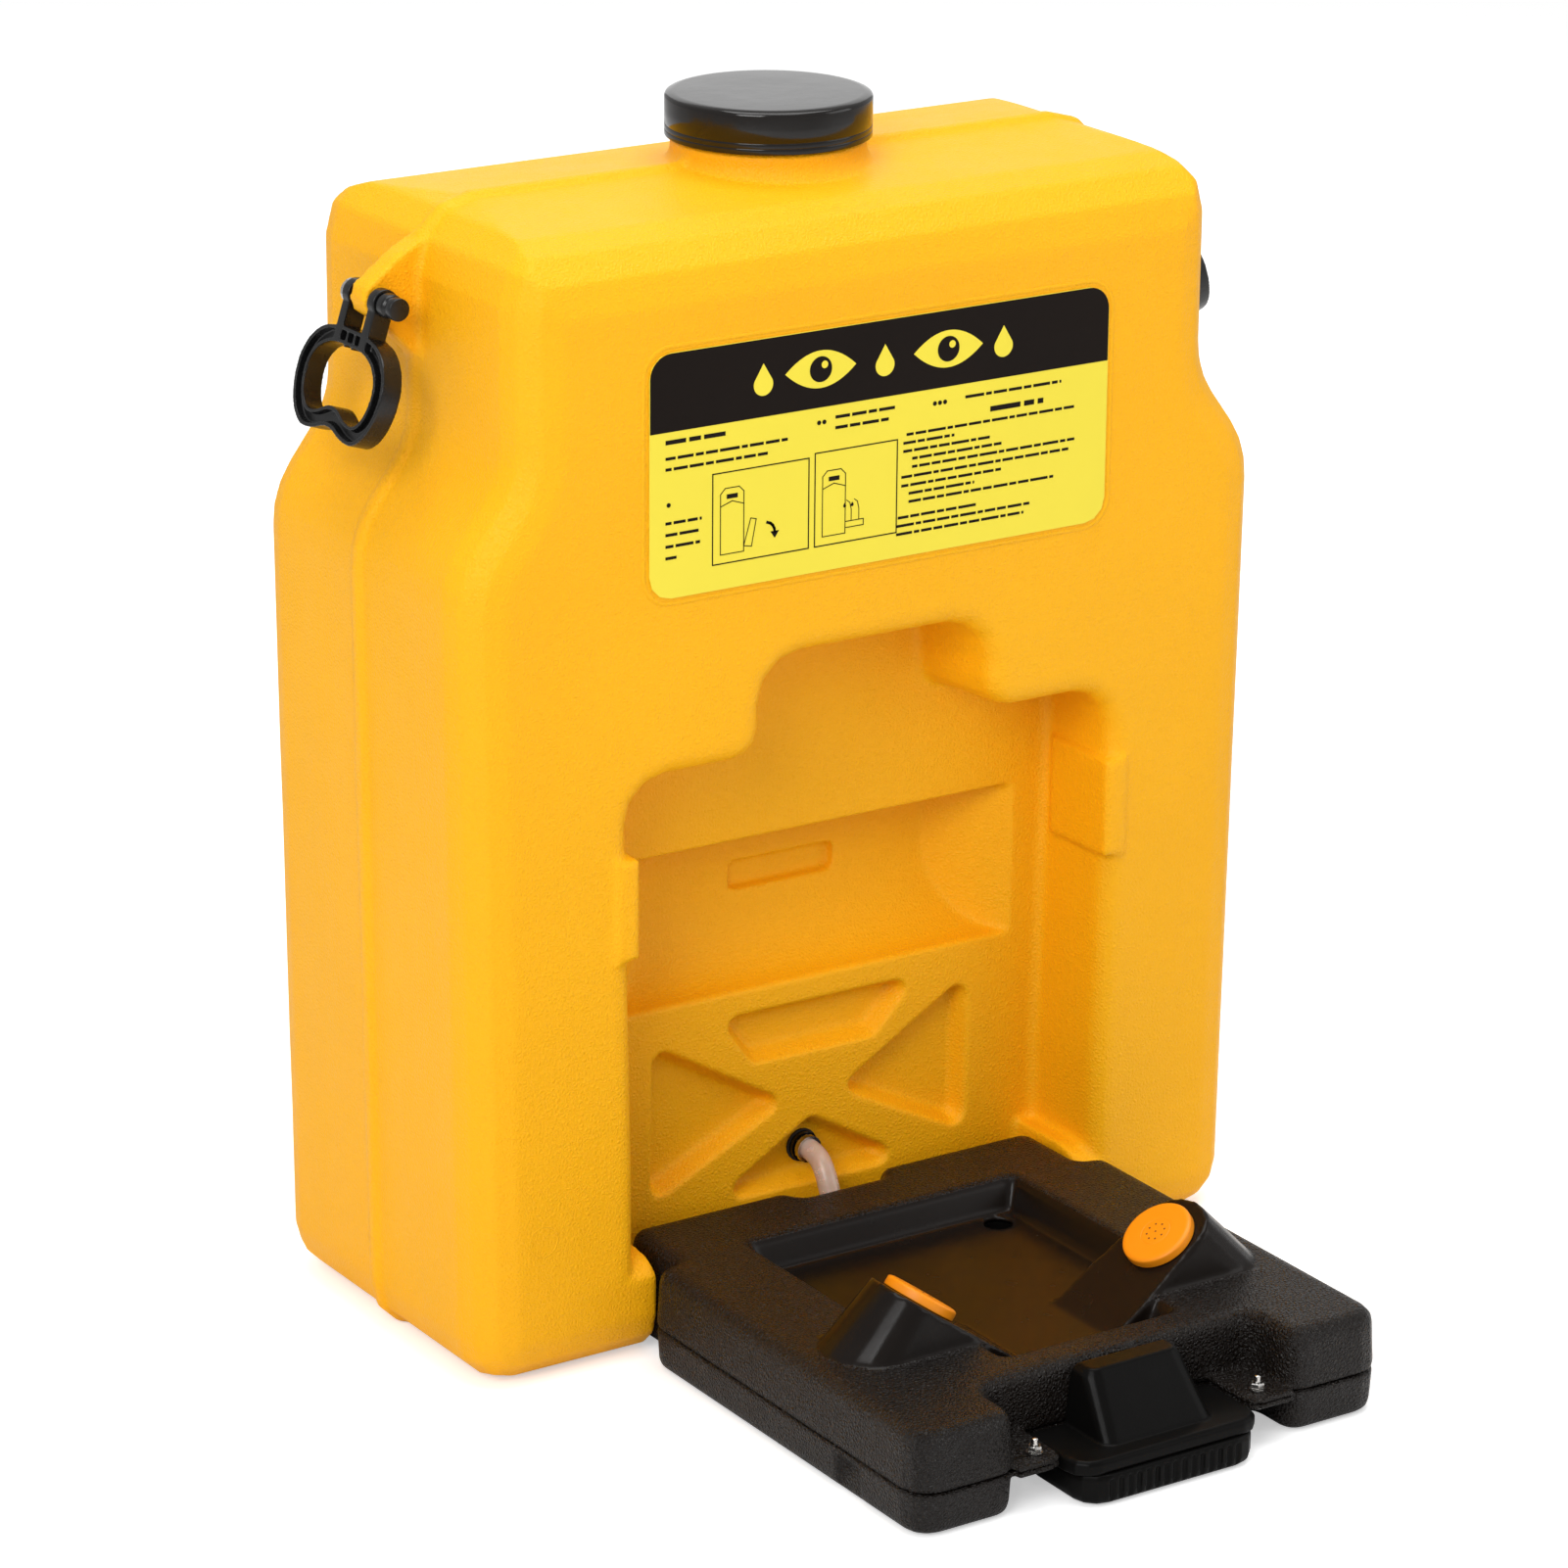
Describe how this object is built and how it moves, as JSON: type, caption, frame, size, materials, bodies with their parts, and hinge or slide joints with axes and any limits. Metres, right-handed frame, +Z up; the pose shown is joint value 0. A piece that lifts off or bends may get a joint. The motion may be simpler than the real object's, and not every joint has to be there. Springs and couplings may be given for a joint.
{
  "type": "portable eyewash station",
  "caption": "Free-standing gravity-fed eyewash tank with screw filler cap, swinging carry grips and a fold-down spray tray with angled spray discs.",
  "frame": {"origin": "on the floor under the middle of the tank, in the parting plane of its two mould halves", "axes": "+X to the right seen from the front, +Y to the back, +Z up; the tray opens towards -Y"},
  "size_m": [0.5676, 0.5245, 0.6863],
  "materials": {
    "tank_plastic": "satin, fine moulded grain",
    "label_film": "satin film",
    "gloss_black": "gloss",
    "satin_black": "satin",
    "grained_black": "leather grain",
    "grip_black": "semi-gloss",
    "grey_plastic": "satin",
    "orange_plastic": "satin",
    "clear_hose": "translucent",
    "seal_rubber": "matt",
    "steel": "bright"
  },
  "bodies": {
    "tank": {"tank": "tank_plastic", "label_panel": "label_film", "outlet_fitting": "gloss_black", "outlet_seal": "seal_rubber", "outlet_nut": "grey_plastic", "hose_clamp_tank": "steel", "supply_hose": "clear_hose", "pivot_pin_left": "steel", "pivot_pin_right": "steel"},
    "cap_seal": {"cap_seal": "seal_rubber"},
    "cap": {"filler_cap": "gloss_black"},
    "grip_left": {"grip_left": "grip_black", "grip_pin_left": "grip_black", "grip_pin_clip_left": "steel"},
    "grip_right": {"grip_right": "grip_black", "grip_pin_right": "grip_black", "grip_pin_clip_right": "steel"},
    "tray": {"tray_top_shell": "grained_black", "tray_bottom_shell": "grained_black", "pull_cover": "satin_black", "pull_grip": "satin_black", "manifold_tee": "grey_plastic", "drain_tube": "satin_black", "hose_clamp_tray": "steel", "spray_disc_left": "orange_plastic", "nozzle_left": "grey_plastic", "branch_hose_left": "clear_hose", "branch_clamp_nozzle_left": "steel", "branch_clamp_tee_left": "steel", "pivot_bush_left": "grey_plastic", "stud_screw_left": "steel", "stud_washer_left": "steel", "stud_nut_left": "steel", "spray_disc_right": "orange_plastic", "nozzle_right": "grey_plastic", "branch_hose_right": "clear_hose", "branch_clamp_nozzle_right": "steel", "branch_clamp_tee_right": "steel", "pivot_bush_right": "grey_plastic", "stud_screw_right": "steel", "stud_washer_right": "steel", "stud_nut_right": "steel", "shell_screw_1": "steel", "shell_screw_2": "steel", "shell_screw_3": "steel", "shell_screw_4": "steel"}
  },
  "joints": [
    {"name": "tray_hinge", "type": "hinge", "parent": "tank", "child": "tray", "pos_m": [0, -0.0963, 0.03], "axis": [-1, 0, 0], "range_deg": [0, 90], "deforming": ["supply_hose"]},
    {"name": "cap_lift", "type": "slide", "parent": "tank", "child": "cap_seal", "axis": [0, 0, 1], "range_m": [0, 0.018]},
    {"name": "cap_turn", "type": "hinge", "parent": "cap_seal", "child": "cap", "pos_m": [0, 0, 0.67], "axis": [0, 0, 1], "range_deg": [0, 1080]},
    {"name": "grip_left_swing", "type": "hinge", "parent": "tank", "child": "grip_left", "pos_m": [-0.254, 0, 0.601], "axis": [0, 1, 0], "range_deg": [-16, 120]},
    {"name": "grip_right_swing", "type": "hinge", "parent": "tank", "child": "grip_right", "pos_m": [0.254, 0, 0.601], "axis": [0, -1, 0], "range_deg": [-16, 120]}
  ],
  "couplings": [
    {"joint": "cap_lift", "follows": "cap_turn", "m_per_rad": 0.00095493}
  ]
}
